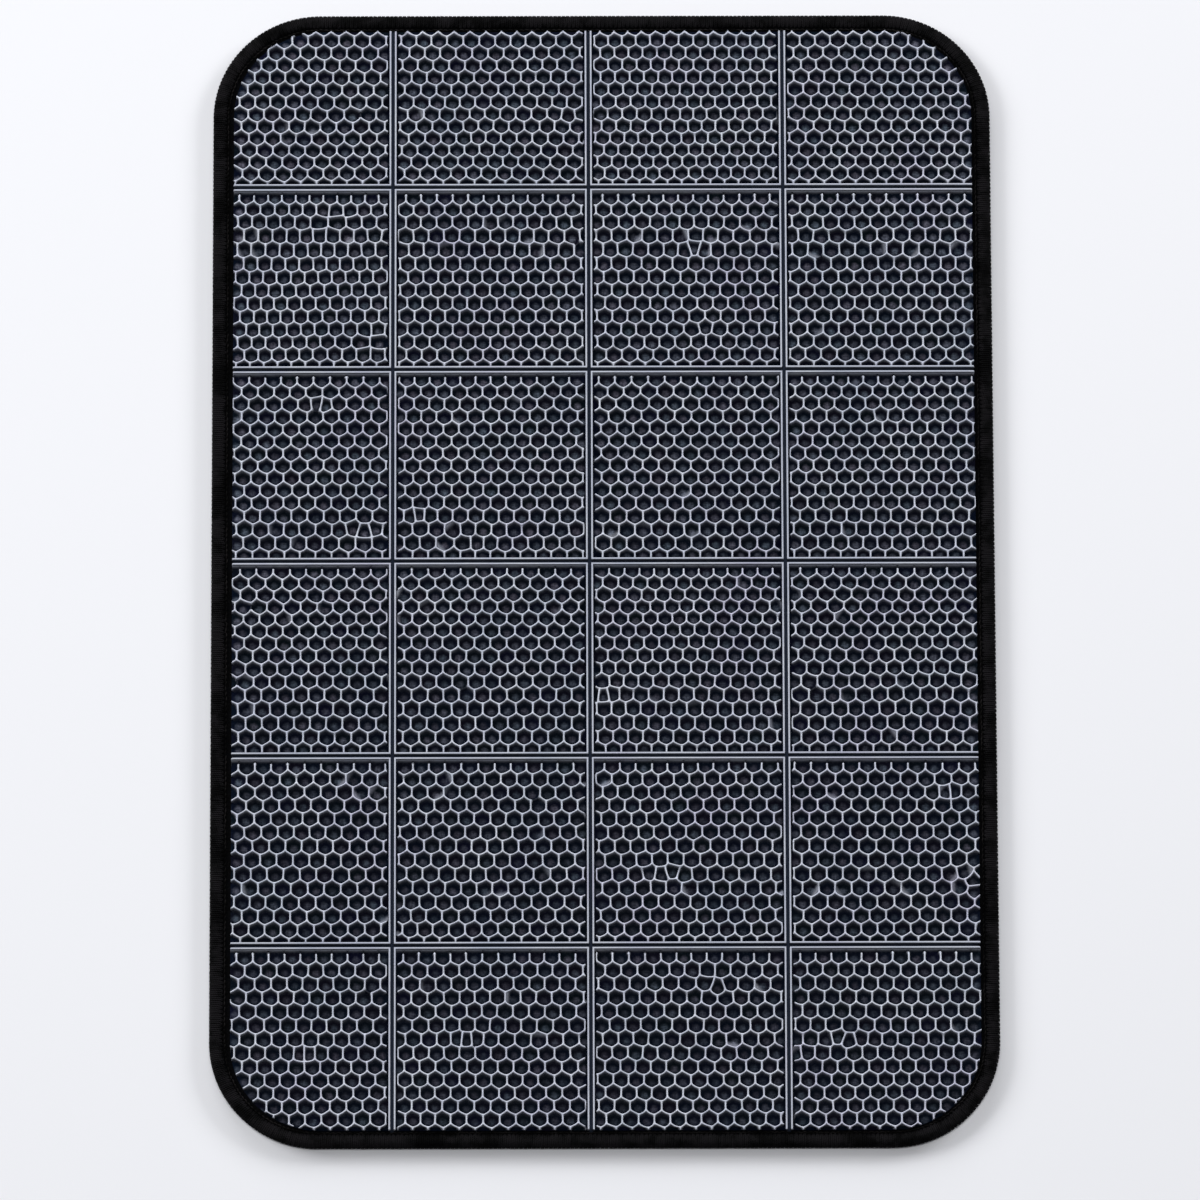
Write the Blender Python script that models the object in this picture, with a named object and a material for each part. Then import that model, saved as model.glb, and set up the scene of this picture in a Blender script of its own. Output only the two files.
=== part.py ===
"""Door mat: moulded honeycomb panels on a felt carrier with a rubber backing
and a three-thread overlocked edge.

Frame: origin on the floor under the middle of the mat, X across its width,
Y along its length, Z up. Units are metres. Rows of panels are counted from
+Y and columns from -X.
"""
import bpy
import bmesh
from math import radians, cos, sin

# ------------------------------------------------------------ driving sizes
WIDTH = 0.400                 # over the stitched edge, along X
LENGTH = 0.600                # over the stitched edge, along Y
CORNER_R = 0.055              # outer corner radius
CORNER_STEPS = 14             # flats per corner arc

CLEAR = 0.0003                # gap left between touching pieces

BACKING_TOP = 0.0020          # rubber backing, from the floor
BACKING_LIP = 0.0012          # underside of its thinned rim
FELT_T = 0.0013               # carrier felt
PANEL_TOP = 0.0076            # tread height above the floor

LAYER_INSET = 0.0015          # felt and backing end inside the thread loops
EDGE_BAND = 0.0070            # width of the overlocked band
EDGE_CROWN = 0.0060           # height of the overlocked band
EDGE_WAIST = 0.0029           # height where the two looper threads meet

# edges of the honeycomb field
FIELD_X = (-0.1893, 0.1904)
FIELD_Y = (-0.2914, 0.2908)
FIELD_CORNER_R = 0.0455

# middles of the channels between the panels
CHANNEL_X = (-0.1074, -0.0069, 0.0930)
CHANNEL_Y = (0.2062, 0.1085, 0.0065, -0.0962, -0.1956)
CHANNEL_W = 0.0017            # clear width between two ribs
RIB_W = 0.0010                # raised rib round a panel
MOAT_W = 0.0009               # sunk strip between rib and honeycomb
WEB_T = 0.0007                # thickness of a panel under its honeycomb

NEEDLE_D = 0.0008             # needle thread
NEEDLE_AT = 0.0078            # its distance in from the outer edge

FELT_BOTTOM = BACKING_TOP + CLEAR
FELT_TOP = FELT_BOTTOM + FELT_T
PANEL_BOTTOM = FELT_TOP + CLEAR

# ------------------------------------------------------------ scene set-up
for ob in list(bpy.data.objects):
    bpy.data.objects.remove(ob, do_unlink=True)

scene = bpy.context.scene
parts = bpy.data.collections.new("door_mat")
scene.collection.children.link(parts)
helpers = bpy.data.collections.new("door_mat_cutters")
scene.collection.children.link(helpers)


def material(name, colour, roughness, metallic=0.0):
    mat = bpy.data.materials.new(name)
    mat.use_nodes = True
    bsdf = mat.node_tree.nodes["Principled BSDF"]
    bsdf.inputs["Base Color"].default_value = (*colour, 1.0)
    bsdf.inputs["Roughness"].default_value = roughness
    bsdf.inputs["Metallic"].default_value = metallic
    mat.diffuse_color = (*colour, 1.0)
    return mat


PANEL_RUBBER = material("panel_rubber", (0.145, 0.155, 0.200), 0.55)
FELT = material("black_felt", (0.010, 0.010, 0.012), 0.95)
BACKING_RUBBER = material("backing_rubber", (0.020, 0.020, 0.021), 0.70)
UPPER_YARN = material("upper_yarn", (0.014, 0.014, 0.014), 0.60)
LOWER_YARN = material("lower_yarn", (0.012, 0.012, 0.012), 0.65)
NEEDLE_YARN = material("needle_yarn", (0.020, 0.021, 0.019), 0.55)


# ------------------------------------------------------------ small helpers
def rounded_rectangle(x0, x1, y0, y1, r):
    """Points of a rounded rectangle, anticlockwise from its +X side."""
    pts = []
    for cx, cy, start in ((x1 - r, y1 - r, 0), (x0 + r, y1 - r, 90),
                          (x0 + r, y0 + r, 180), (x1 - r, y0 + r, 270)):
        for i in range(CORNER_STEPS + 1):
            a = radians(start + 90.0 * i / CORNER_STEPS)
            pts.append((cx + r * cos(a), cy + r * sin(a)))
    return pts


def mat_outline(inset):
    """The mat's own outline, moved inwards."""
    return rounded_rectangle(-WIDTH / 2 + inset, WIDTH / 2 - inset,
                             -LENGTH / 2 + inset, LENGTH / 2 - inset,
                             CORNER_R - inset)


def rectangle(x0, x1, y0, y1):
    return [(x0, y0), (x1, y0), (x1, y1), (x0, y1)]


def poly_spline(curve, pts):
    spline = curve.splines.new("POLY")
    spline.points.add(len(pts) - 1)
    for point, p in zip(spline.points, pts):
        point.co = (p[0], p[1], p[2] if len(p) > 2 else 0.0, 1.0)
    spline.use_cyclic_u = True
    return spline


def as_mesh(ob, collection):
    """Turn a curve object into a welded mesh object of the same name."""
    name = ob.name
    ob.name = name + "_curve"
    bpy.context.view_layer.update()
    depsgraph = bpy.context.evaluated_depsgraph_get()
    mesh = bpy.data.meshes.new_from_object(ob.evaluated_get(depsgraph))
    bm = bmesh.new()
    bm.from_mesh(mesh)
    bmesh.ops.remove_doubles(bm, verts=bm.verts, dist=1e-6)
    bmesh.ops.recalc_face_normals(bm, faces=bm.faces)
    bm.to_mesh(mesh)
    bm.free()
    mesh.name = name
    new = bpy.data.objects.new(name, mesh)
    new.matrix_world = ob.matrix_world.copy()
    collection.objects.link(new)
    bpy.data.objects.remove(ob, do_unlink=True)
    return new


def plate(name, outlines, z0, z1, collection, mat=None):
    """A flat sheet between two heights; a second outline is a hole."""
    curve = bpy.data.curves.new(name, "CURVE")
    curve.dimensions = "2D"
    curve.fill_mode = "BOTH"
    curve.extrude = (z1 - z0) / 2
    for pts in outlines:
        poly_spline(curve, pts)
    ob = bpy.data.objects.new(name, curve)
    ob.location.z = (z0 + z1) / 2
    collection.objects.link(ob)
    new = as_mesh(ob, collection)
    if mat:
        new.data.materials.clear()
        new.data.materials.append(mat)
    else:
        new.hide_render = True
        new.display_type = "WIRE"
    return new


def boolean(ob, cutter, operation, name):
    mod = ob.modifiers.new(name, "BOOLEAN")
    mod.operation = operation
    mod.solver = "EXACT"
    mod.object = cutter


def edge_ring(name, profile, mat, sharp_angle=40.0):
    """Sweep a closed (inset, height) profile round the mat's outline."""
    section = bpy.data.curves.new(name + "_section", "CURVE")
    section.dimensions = "2D"
    poly_spline(section, [(-(u - CORNER_R / 4), z) for u, z in profile])
    section_ob = bpy.data.objects.new(name + "_section", section)
    section_ob.hide_render = True
    section_ob.display_type = "WIRE"
    helpers.objects.link(section_ob)

    path = bpy.data.curves.new(name, "CURVE")
    path.dimensions = "3D"
    path.twist_mode = "Z_UP"
    path.bevel_mode = "OBJECT"
    path.bevel_object = section_ob
    path.render_resolution_u = 0
    poly_spline(path, mat_outline(CORNER_R / 4))
    ob = bpy.data.objects.new(name, path)
    parts.objects.link(ob)
    new = as_mesh(ob, parts)
    new.data.materials.clear()
    new.data.materials.append(mat)
    new.data.shade_smooth()
    new.data.set_sharp_from_angle(angle=radians(sharp_angle))
    bpy.data.objects.remove(section_ob, do_unlink=True)
    return new


# ------------------------------------------------------------ rubber backing
backing = plate("rubber_backing", [mat_outline(LAYER_INSET)],
                0.0, BACKING_TOP, parts, BACKING_RUBBER)
lip_cutter = plate("backing_lip_cutter",
                   [mat_outline(LAYER_INSET - 0.001),
                    mat_outline(EDGE_BAND + CLEAR)],
                   -0.001, BACKING_LIP, helpers)
boolean(backing, lip_cutter, "DIFFERENCE", "thinned_rim")

# ------------------------------------------------------------ carrier felt
plate("carrier_felt", [mat_outline(LAYER_INSET)],
      FELT_BOTTOM, FELT_TOP, parts, FELT)

# ------------------------------------------------------------ honeycomb panels
field = plate("field_outline",
              [rounded_rectangle(*FIELD_X, *FIELD_Y, FIELD_CORNER_R)],
              PANEL_BOTTOM - 0.002, PANEL_TOP + 0.002, helpers)

columns = [FIELD_X[0], *CHANNEL_X, FIELD_X[1]]
rows = [FIELD_Y[1], *CHANNEL_Y, FIELD_Y[0]]
half = CHANNEL_W / 2

for r in range(len(rows) - 1):
    for c in range(len(columns) - 1):
        name = "honeycomb_panel_r%dc%d" % (r + 1, c + 1)
        # which sides meet a neighbour and so carry a rib
        west, east = c > 0, c < len(columns) - 2
        north, south = r > 0, r < len(rows) - 2
        x0 = columns[c] + (half if west else 0.0)
        x1 = columns[c + 1] - (half if east else 0.0)
        y1 = rows[r] - (half if north else 0.0)
        y0 = rows[r + 1] + (half if south else 0.0)

        bm = bmesh.new()
        bmesh.ops.create_cube(bm, size=1.0)
        bmesh.ops.scale(bm, verts=bm.verts,
                        vec=(x1 - x0, y1 - y0, PANEL_TOP - PANEL_BOTTOM))
        mesh = bpy.data.meshes.new(name)
        bm.to_mesh(mesh)
        bm.free()
        panel = bpy.data.objects.new(name, mesh)
        panel.location = ((x0 + x1) / 2, (y0 + y1) / 2,
                          (PANEL_TOP + PANEL_BOTTOM) / 2)
        parts.objects.link(panel)
        mesh.materials.append(PANEL_RUBBER)

        # The moat is one frame-shaped cutter. On a side with no rib it
        # passes outside the panel.
        outer, inner = RIB_W, RIB_W + MOAT_W
        cut_out = rectangle(x0 + (outer if west else -0.006),
                            x1 - (outer if east else -0.006),
                            y0 + (outer if south else -0.006),
                            y1 - (outer if north else -0.006))
        cut_in = rectangle(x0 + (inner if west else -0.004),
                           x1 - (inner if east else -0.004),
                           y0 + (inner if south else -0.004),
                           y1 - (inner if north else -0.004))
        moat = plate(name + "_moat_cutter", [cut_out, cut_in],
                     PANEL_BOTTOM + WEB_T, PANEL_TOP + 0.002, helpers)
        boolean(panel, moat, "DIFFERENCE", "moat")

        at_end = not (north and south)
        at_side = not (west and east)
        if at_end and at_side:
            boolean(panel, field, "INTERSECT", "rounded_corner")

# ------------------------------------------------------------ overlocked edge
# Profiles run over (distance in from the outline, height).
crown = []
CROWN_STEPS = 10
for i in range(CROWN_STEPS + 1):
    a = radians(180.0 * i / CROWN_STEPS)
    u = EDGE_BAND / 2 * (1.0 - cos(a))
    low = EDGE_WAIST + CLEAR / 2 if u < EDGE_BAND / 2 else PANEL_BOTTOM
    crown.append((u, low + (EDGE_CROWN - low) * sin(a) ** 0.8))
crown[-1] = (EDGE_BAND, PANEL_BOTTOM + 0.0002)
wrap_in = LAYER_INSET - CLEAR
edge_ring("overlock_upper_thread",
          crown + [(EDGE_BAND, FELT_TOP + CLEAR),
                   (wrap_in, FELT_TOP + CLEAR),
                   (wrap_in, EDGE_WAIST + CLEAR / 2)], UPPER_YARN)

LOWER_STEPS = 6
lower = []
for i in range(LOWER_STEPS + 1):
    a = radians(90.0 * i / LOWER_STEPS)
    lower.append((0.0026 * (1.0 - sin(a)),
                  (EDGE_WAIST - CLEAR / 2) * (1.0 - cos(a))))
edge_ring("overlock_lower_thread",
          lower + [(wrap_in, EDGE_WAIST - CLEAR / 2),
                   (wrap_in, BACKING_LIP - CLEAR),
                   (EDGE_BAND, BACKING_LIP - CLEAR),
                   (EDGE_BAND, 0.0)], LOWER_YARN)

NEEDLE_STEPS = 8
needle = []
for i in range(NEEDLE_STEPS):
    a = radians(360.0 * i / NEEDLE_STEPS)
    needle.append((NEEDLE_AT + NEEDLE_D / 2 * cos(a),
                   PANEL_BOTTOM + NEEDLE_D / 2 * (1.0 + sin(a))))
edge_ring("overlock_needle_thread", needle, NEEDLE_YARN)
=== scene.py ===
"""Door mat: the visual model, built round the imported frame."""
import math
import random

import bpy
import numpy as np
from mathutils import Matrix, Vector


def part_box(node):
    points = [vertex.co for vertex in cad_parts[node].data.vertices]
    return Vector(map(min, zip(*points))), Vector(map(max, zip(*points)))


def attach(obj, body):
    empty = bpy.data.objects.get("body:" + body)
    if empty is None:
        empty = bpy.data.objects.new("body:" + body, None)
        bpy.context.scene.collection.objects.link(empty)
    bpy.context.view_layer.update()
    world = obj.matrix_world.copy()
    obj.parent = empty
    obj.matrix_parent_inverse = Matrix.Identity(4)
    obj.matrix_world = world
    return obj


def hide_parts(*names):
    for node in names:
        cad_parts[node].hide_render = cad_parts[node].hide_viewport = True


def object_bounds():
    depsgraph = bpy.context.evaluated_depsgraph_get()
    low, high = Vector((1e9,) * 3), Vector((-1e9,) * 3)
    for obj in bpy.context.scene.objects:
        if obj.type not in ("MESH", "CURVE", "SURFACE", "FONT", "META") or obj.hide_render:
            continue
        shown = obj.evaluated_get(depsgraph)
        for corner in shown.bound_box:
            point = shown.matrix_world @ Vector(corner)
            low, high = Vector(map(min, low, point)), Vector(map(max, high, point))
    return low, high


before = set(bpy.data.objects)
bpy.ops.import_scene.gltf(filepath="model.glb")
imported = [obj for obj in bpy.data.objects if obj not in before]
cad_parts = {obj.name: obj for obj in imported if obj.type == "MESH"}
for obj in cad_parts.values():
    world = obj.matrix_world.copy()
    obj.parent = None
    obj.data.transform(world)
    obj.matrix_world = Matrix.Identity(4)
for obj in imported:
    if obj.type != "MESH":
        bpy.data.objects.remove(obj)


def plain(bounds):
    return [[float(x) for x in corner] for corner in bounds]


cad_box = plain(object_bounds())
(CAD_X0, CAD_Y0, CAD_Z0), (CAD_X1, CAD_Y1, CAD_Z1) = cad_box
MM = 0.001

# ---------------------------------------------------------------- layout, mm
WIDTH, LENGTH, CORNER_R = 400.0, 600.0, 55.0
FIELD_R = 45.5
RIB = 1.0
WEB = 0.7
felt_lo, felt_hi = (np.array(v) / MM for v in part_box("carrier_felt"))
FELT_TOP = float(felt_hi[2])
PANEL_Z0 = FELT_TOP + 0.3
PANEL_TOP = float(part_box("honeycomb_panel_r1c1")[1][2]) / MM
FLOOR_Z = PANEL_Z0 + WEB

# Heights (y) of the zigzag lines between rows of cells, one list a band.
CHANNEL_X = (-107.4, -6.9, 93.0)
CHANNEL_Y = (206.2, 108.5, 6.5, -96.2, -195.6)
ZIGZAGS = (
    (288.9, 282.2, 275.7, 269.2, 262.5, 255.8, 249.1, 242.6, 236.2, 229.7, 223.4, 217.1, 210.9),
    (197.7, 191.6, 184.3, 177.1, 168.6, 161.6, 154.7, 147.6, 140.7, 133.6, 126.7, 119.9, 113.3),
    (100.1, 94.0, 87.2, 80.4, 73.8, 67.3, 60.9, 54.4, 47.8, 41.0, 34.4, 27.4, 19.7, 12.6),
    (-1.7, -7.9, -14.4, -20.5, -26.6, -33.1, -39.8, -46.6, -53.4, -60.1, -67.3, -75.4, -82.8, -89.8),
    (-105.0, -111.7, -118.5, -125.5, -132.6, -139.8, -147.0, -154.6, -162.0, -169.2, -176.5, -183.5, -190.4),
    (-204.9, -211.8, -218.9, -226.2, -233.3, -240.7, -248.1, -255.2, -262.0, -268.8, -275.5, -282.4, -289.2),
)
# Per panel: cell pitch, x of a cell near the middle, and the shift from one
# row to the next below it.
LATTICE = {
    (1, 1): (8.15, -145.4, 4.41), (1, 2): (7.98, -56.4, 4.50),
    (1, 3): (7.28, 44.1, 3.77), (1, 4): (7.99, 140.5, 4.33),
    (2, 1): (7.13, -149.2, 3.17), (2, 2): (7.80, -57.4, 3.90),
    (2, 3): (7.84, 44.3, 4.07), (2, 4): (8.05, 141.3, 3.88),
    (3, 1): (8.26, -147.0, 4.23), (3, 2): (7.91, -57.3, 3.91),
    (3, 3): (8.29, 40.8, 4.22), (3, 4): (7.85, 143.2, 4.12),
    (4, 1): (8.23, -150.2, 4.34), (4, 2): (8.14, -57.1, 4.08),
    (4, 3): (7.63, 44.2, 4.26), (4, 4): (8.20, 143.8, 4.37),
    (5, 1): (8.34, -149.3, 3.94), (5, 2): (8.14, -54.9, 3.57),
    (5, 3): (8.00, 41.3, 3.51), (5, 4): (8.36, 142.4, 4.19),
    (6, 1): (7.98, -148.3, 4.30), (6, 2): (7.96, -57.6, 4.03),
    (6, 3): (7.94, 42.5, 4.41), (6, 4): (7.84, 144.3, 4.31),
}
# y of the lattice's middle cell in each band
MIDDLE_Y = (246.0, 158.3, 57.5, -43.2, -143.3, -243.9)
# Rows where the moulding is uneven: y, half height, strength.
UNEVEN = (
    (240.0, 7.0, 0.7), (181.0, 9.0, 1.0), (171.0, 4.0, 0.8), (127.0, 5.0, 0.5),
    (86.0, 5.0, 0.5), (23.5, 6.0, 1.0), (-17.0, 6.0, 0.5), (-62.0, 8.0, 0.9),
    (-112.0, 5.0, 0.5), (-162.0, 6.0, 0.7), (-218.0, 6.0, 0.5), (-246.0, 7.0, 0.8),
)


# ---------------------------------------------------------------- node helpers
class Nodes:
    """Small helper that builds a material's node tree."""

    def __init__(self, name):
        self.mat = bpy.data.materials.new(name)
        self.mat.use_nodes = True
        self.tree = self.mat.node_tree
        self.bsdf = self.tree.nodes["Principled BSDF"]

    def add(self, kind, **values):
        node = self.tree.nodes.new(kind)
        for key, value in values.items():
            setattr(node, key, value)
        return node

    def link(self, a, b):
        self.tree.links.new(a, b)

    def coords(self, scale=(1, 1, 1), rotation=(0, 0, 0), source=None):
        if source is None:
            source = self.add("ShaderNodeTexCoord").outputs["Object"]
        mapping = self.add("ShaderNodeMapping")
        mapping.inputs["Scale"].default_value = scale
        mapping.inputs["Rotation"].default_value = rotation
        self.link(source, mapping.inputs["Vector"])
        return mapping.outputs["Vector"]

    def noise(self, vector, scale, detail=3.0, roughness=0.55, distortion=0.0):
        node = self.add("ShaderNodeTexNoise")
        node.inputs["Scale"].default_value = scale
        node.inputs["Detail"].default_value = detail
        node.inputs["Roughness"].default_value = roughness
        node.inputs["Distortion"].default_value = distortion
        self.link(vector, node.inputs["Vector"])
        return node.outputs["Fac"]

    def attribute(self, name):
        node = self.add("ShaderNodeAttribute", attribute_name=name)
        return node

    def value(self, operation, a, b=None, c=None, clamp=False):
        node = self.add("ShaderNodeMath", operation=operation, use_clamp=clamp)
        for socket, x in zip(node.inputs, (a, b, c)):
            if x is None:
                continue
            if isinstance(x, (int, float)):
                socket.default_value = x
            else:
                self.link(x, socket)
        return node.outputs[0]

    def remap(self, x, lo, hi, out_lo=0.0, out_hi=1.0, smooth=True):
        node = self.add("ShaderNodeMapRange",
                        interpolation_type="SMOOTHSTEP" if smooth else "LINEAR")
        node.inputs["From Min"].default_value = lo
        node.inputs["From Max"].default_value = hi
        node.inputs["To Min"].default_value = out_lo
        node.inputs["To Max"].default_value = out_hi
        self.link(x, node.inputs["Value"])
        return node.outputs["Result"]

    def mix(self, fac, a, b, blend="MIX"):
        node = self.add("ShaderNodeMix", data_type="RGBA", blend_type=blend)
        for socket, x in ((node.inputs["Factor"], fac),
                          (node.inputs[6], a), (node.inputs[7], b)):
            if isinstance(x, (int, float)):
                socket.default_value = x
            elif isinstance(x, tuple):
                socket.default_value = (*x, 1.0) if len(x) == 3 else x
            else:
                self.link(x, socket)
        return node.outputs[2]

    def grey(self, x):
        node = self.add("ShaderNodeCombineXYZ")
        for socket in node.inputs:
            self.link(x, socket)
        return node.outputs[0]

    def bump(self, height, strength, distance, normal=None):
        node = self.add("ShaderNodeBump")
        node.inputs["Strength"].default_value = strength
        node.inputs["Distance"].default_value = distance
        self.link(height, node.inputs["Height"])
        if normal is not None:
            self.link(normal, node.inputs["Normal"])
        return node.outputs["Normal"]

    def separate(self, vector):
        node = self.add("ShaderNodeSeparateXYZ")
        self.link(vector, node.inputs[0])
        return node.outputs


def panel_material():
    n = Nodes("moulded_honeycomb_rubber")
    tone = n.attribute("tone").outputs["Fac"]
    local = n.separate(n.attribute("local").outputs["Vector"])
    cell = local[2]
    at = n.add("ShaderNodeTexCoord").outputs["Object"]
    world_y = n.separate(at)[1]

    # dark pit, its tint set cell by cell
    tints = n.add("ShaderNodeValToRGB")
    tints.color_ramp.interpolation = "LINEAR"
    ramp = tints.color_ramp
    ramp.elements[0].position, ramp.elements[0].color = 0.0, (0.0010, 0.0030, 0.0120, 1)
    ramp.elements[1].position, ramp.elements[1].color = 1.0, (0.0018, 0.0024, 0.0145, 1)
    for position, colour in ((0.3, (0.0003, 0.0036, 0.0108, 1)),
                             (0.55, (0.0030, 0.0026, 0.0095, 1)),
                             (0.8, (0.0006, 0.0042, 0.0078, 1))):
        element = ramp.elements.new(position)
        element.color = colour
    n.link(cell, tints.inputs["Fac"])

    # painted light: a paler, streaky patch on the lower part of each pit's floor, where light from the far side of
    # the mat falls into the pit
    fine = n.noise(n.coords((1.0, 3.2, 1.0), (0, 0, 0.65), at), 420.0, 3.0, 0.6)
    crossed = n.noise(n.coords((3.0, 1.0, 1.0), (0, 0, -0.5), at), 380.0, 2.0, 0.6)
    streaks = n.value("ADD", n.value("MULTIPLY", fine, 0.6),
                      n.value("MULTIPLY", crossed, 0.4))
    streaks = n.remap(streaks, 0.36, 0.66)
    down = n.value("ADD", local[1], 0.00105)
    off = n.value("SQRT", n.value("ADD", n.value("MULTIPLY", local[0], local[0]),
                                  n.value("MULTIPLY", down, down)))
    ragged = n.noise(n.coords((1, 1, 1), (0, 0, 0), at), 620.0, 2.0, 0.6)
    off = n.value("ADD", off, n.value("MULTIPLY", n.value("SUBTRACT", ragged, 0.5), 0.0018))
    patch = n.remap(off, 0.0026, 0.0003)
    patch = n.value("MULTIPLY", patch, n.value("ADD", n.value("MULTIPLY", streaks, 0.75), 0.30))
    by_cell = n.value("ADD", n.value("MULTIPLY", n.value("FRACT", n.value("MULTIPLY", cell, 7.31)), 0.7), 0.5)
    patch = n.value("MULTIPLY", patch, by_cell)
    # the painted light patch fades towards the near end of the mat, as the light falls off
    patch = n.value("MULTIPLY", patch, n.remap(world_y, -0.30, 0.26, 0.50, 1.0))
    # the colour of the painted light in the pits, two colours mixed cell by cell
    lit = n.mix(n.value("FRACT", n.value("MULTIPLY", cell, 13.7)), (0.155, 0.200, 0.262), (0.200, 0.190, 0.252))
    floor = n.mix(patch, tints.outputs["Color"], lit)
    speck = n.noise(n.coords((1, 1, 1), (0, 0, 0), at), 1500.0, 2.0, 0.7)
    floor = n.mix(n.remap(speck, 0.52, 0.78, 0.0, 0.6), floor, (0.020, 0.025, 0.042))

    # worn pale crowns, and painted light on the wall sides that face the near edge of the mat
    wide = n.noise(n.coords((1, 1, 1), (0, 0, 0), at), 55.0, 3.0, 0.6)
    grain = n.noise(n.coords((1, 1, 1), (0, 0, 0), at), 900.0, 3.0, 0.65)
    pale = n.mix(n.remap(wide, 0.35, 0.65), (0.515, 0.545, 0.655), (0.590, 0.620, 0.700))
    pale = n.mix(n.remap(grain, 0.42, 0.70, 0.0, 0.35), pale, (0.350, 0.370, 0.450))
    tint = n.noise(n.coords((1, 1, 1), (0, 0, 0), at), 21.0, 2.0, 0.5)
    pale = n.mix(n.remap(tint, 0.52, 0.72, 0.0, 0.5), pale, (0.470, 0.450, 0.600))
    pale = n.mix(n.remap(tint, 0.48, 0.28, 0.0, 0.5), pale, (0.420, 0.480, 0.570))
    worn = n.attribute("pale").outputs["Fac"]
    pale = n.mix(1.0, pale, n.grey(worn), "MULTIPLY")
    # the tone attribute holds the crowns' wear and the painted light on the near-facing wall sides
    wear_and_painted_light = n.value("ADD", tone, n.value("MULTIPLY", n.value("SUBTRACT", grain, 0.5), 0.18), clamp=True)
    wear_and_painted_light = n.value("POWER", wear_and_painted_light, 1.55)
    colour = n.mix(wear_and_painted_light, floor, pale)
    n.link(colour, n.bsdf.inputs["Base Color"])
    n.link(n.remap(grain, 0.3, 0.7, 0.50, 0.68), n.bsdf.inputs["Roughness"])
    n.bsdf.inputs["Specular IOR Level"].default_value = 0.03
    height = n.value("ADD", n.value("MULTIPLY", grain, 0.5), n.value("MULTIPLY", streaks, 0.5))
    n.link(n.bump(height, 0.35, 0.00012), n.bsdf.inputs["Normal"])
    return n.mat


def felt_material():
    n = Nodes("needled_felt")
    at = n.add("ShaderNodeTexCoord").outputs["Object"]
    fibre_a = n.noise(n.coords((1.0, 6.0, 1.0), (0, 0, 0.9), at), 700.0, 3.0, 0.6, 1.5)
    fibre_b = n.noise(n.coords((6.0, 1.0, 1.0), (0, 0, 0.5), at), 650.0, 3.0, 0.6, 1.5)
    fibres = n.value("MAXIMUM", fibre_a, fibre_b)
    clumps = n.noise(n.coords((1, 1, 1), (0, 0, 0), at), 160.0, 2.0, 0.5)
    colour = n.mix(n.remap(fibres, 0.50, 0.78), (0.0012, 0.0012, 0.0014), (0.0095, 0.0095, 0.0098))
    colour = n.mix(n.remap(clumps, 0.35, 0.7, 0.0, 0.5), colour, (0.0030, 0.0034, 0.0048))
    lint = n.attribute("channel").outputs["Fac"]
    colour = n.mix(n.value("MULTIPLY", lint, n.remap(fibres, 0.3, 0.7, 0.6, 1.0)),
                   colour, (0.040, 0.052, 0.085))
    n.link(colour, n.bsdf.inputs["Base Color"])
    n.link(n.remap(fibres, 0.3, 0.8, 0.98, 0.85), n.bsdf.inputs["Roughness"])
    n.bsdf.inputs["Specular IOR Level"].default_value = 0.03
    n.link(n.bump(fibres, 0.8, 0.0003), n.bsdf.inputs["Normal"])
    return n.mat


def backing_material():
    n = Nodes("studded_backing_rubber")
    at = n.add("ShaderNodeTexCoord").outputs["Object"]
    grain = n.noise(n.coords((1, 1, 1), (0, 0, 0), at), 1100.0, 3.0, 0.6)
    dust = n.noise(n.coords((1, 1, 1), (0, 0, 0), at), 40.0, 4.0, 0.6)
    colour = n.mix(n.remap(dust, 0.40, 0.75), (0.0130, 0.0130, 0.0138), (0.0300, 0.0300, 0.0295))
    colour = n.mix(n.remap(grain, 0.45, 0.75, 0.0, 0.4), colour, (0.0400, 0.0400, 0.0400))
    n.link(colour, n.bsdf.inputs["Base Color"])
    n.link(n.remap(grain, 0.3, 0.7, 0.55, 0.75), n.bsdf.inputs["Roughness"])
    n.link(n.bump(grain, 0.4, 0.00010), n.bsdf.inputs["Normal"])
    return n.mat


def yarn_material(name, dark, light, plies, lay):
    """Plied yarn; its UV map runs along the yarn (mm) and once round it."""
    n = Nodes(name)
    uv = n.add("ShaderNodeUVMap", uv_map="yarn").outputs["UV"]
    along, around, _ = n.separate(uv)
    at = n.add("ShaderNodeTexCoord").outputs["Object"]
    phase = n.value("ADD", n.value("MULTIPLY", around, 2 * math.pi * plies),
                    n.value("MULTIPLY", along, 2 * math.pi * plies / lay))
    # painted shade: the colour is darker in the grooves between the twisted plies
    ply = n.value("ABSOLUTE", n.value("SINE", n.value("MULTIPLY", phase, 0.5)))
    strand = n.noise(n.coords((0.5, 26.0, 1.0), (0, 0, 0), uv), 1.6, 2.0, 0.5)
    hair = n.noise(n.coords((1, 1, 1), (0, 0, 0), at), 1700.0, 3.0, 0.6)
    patches = n.noise(n.coords((1, 1, 1), (0, 0, 0), at), 90.0, 3.0, 0.6)
    shade = n.value("ADD", n.value("MULTIPLY", ply, 0.55),
                    n.value("ADD", n.value("MULTIPLY", strand, 0.20), n.value("MULTIPLY", hair, 0.25)))
    colour = n.mix(n.remap(shade, 0.30, 0.85), dark, light)
    warm = tuple(x * y for x, y in zip(light, (0.97, 0.90, 0.95)))
    colour = n.mix(n.remap(patches, 0.42, 0.62, 0.0, 0.8), colour, warm)
    colour = n.mix(n.remap(patches, 0.34, 0.56, 0.8, 0.0), colour, dark)
    n.link(colour, n.bsdf.inputs["Base Color"])
    n.link(n.remap(hair, 0.3, 0.7, 0.58, 0.80), n.bsdf.inputs["Roughness"])
    n.bsdf.inputs["Specular IOR Level"].default_value = 0.03
    height = n.value("ADD", ply, n.value("MULTIPLY", hair, 0.25))
    n.link(n.bump(height, 0.7, 0.00012), n.bsdf.inputs["Normal"])
    return n.mat


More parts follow.
